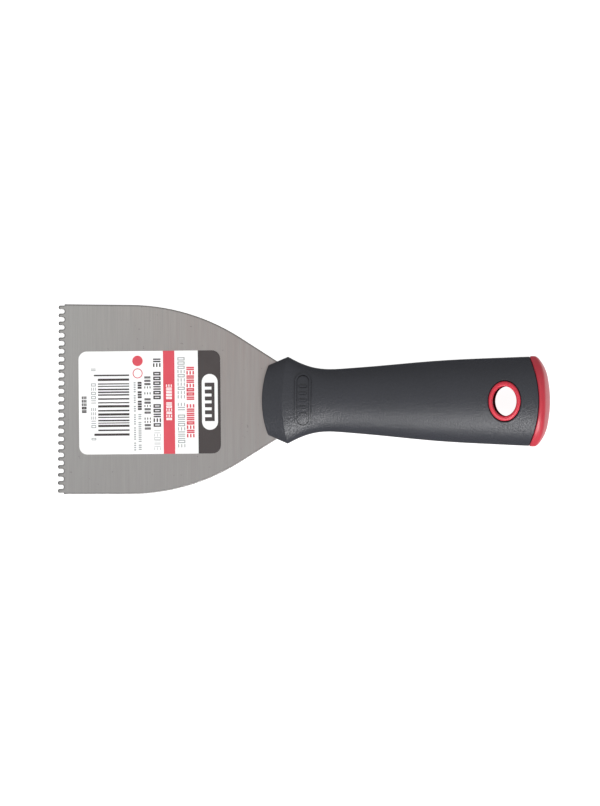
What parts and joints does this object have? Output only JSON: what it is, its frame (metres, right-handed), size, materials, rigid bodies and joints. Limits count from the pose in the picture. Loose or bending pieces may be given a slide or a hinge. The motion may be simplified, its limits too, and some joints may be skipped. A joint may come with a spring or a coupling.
{
  "type": "notched adhesive spreader",
  "caption": "In-line hand spreader with a flat square-notched steel blade, flared two-tone moulded handle, domed butt cap and oval hang hole.",
  "frame": {"origin": "middle of the notched edge, on the line of the tooth tips, at mid-thickness of the blade", "axes": "+X along the tool from the notched edge to the butt, +Y across the blade, +Z out of the labelled face"},
  "size_m": [0.1973, 0.0762, 0.0256],
  "materials": {
    "blade_steel": "satin",
    "core_plastic": "matte",
    "grip_plastic": "satin",
    "trim_plastic": "satin",
    "label_paper": "matte",
    "ink_dark": "matte",
    "ink_red": "matte",
    "ink_grey": "matte"
  },
  "bodies": {
    "root": {"blade": "blade_steel", "handle_core": "core_plastic", "handle_grip": "grip_plastic", "butt_cap": "trim_plastic", "hang_hole_grommet": "trim_plastic", "blade_label": "label_paper", "label_print_dark": "ink_dark", "label_print_red": "ink_red", "label_print_grey": "ink_grey"}
  },
  "joints": []
}
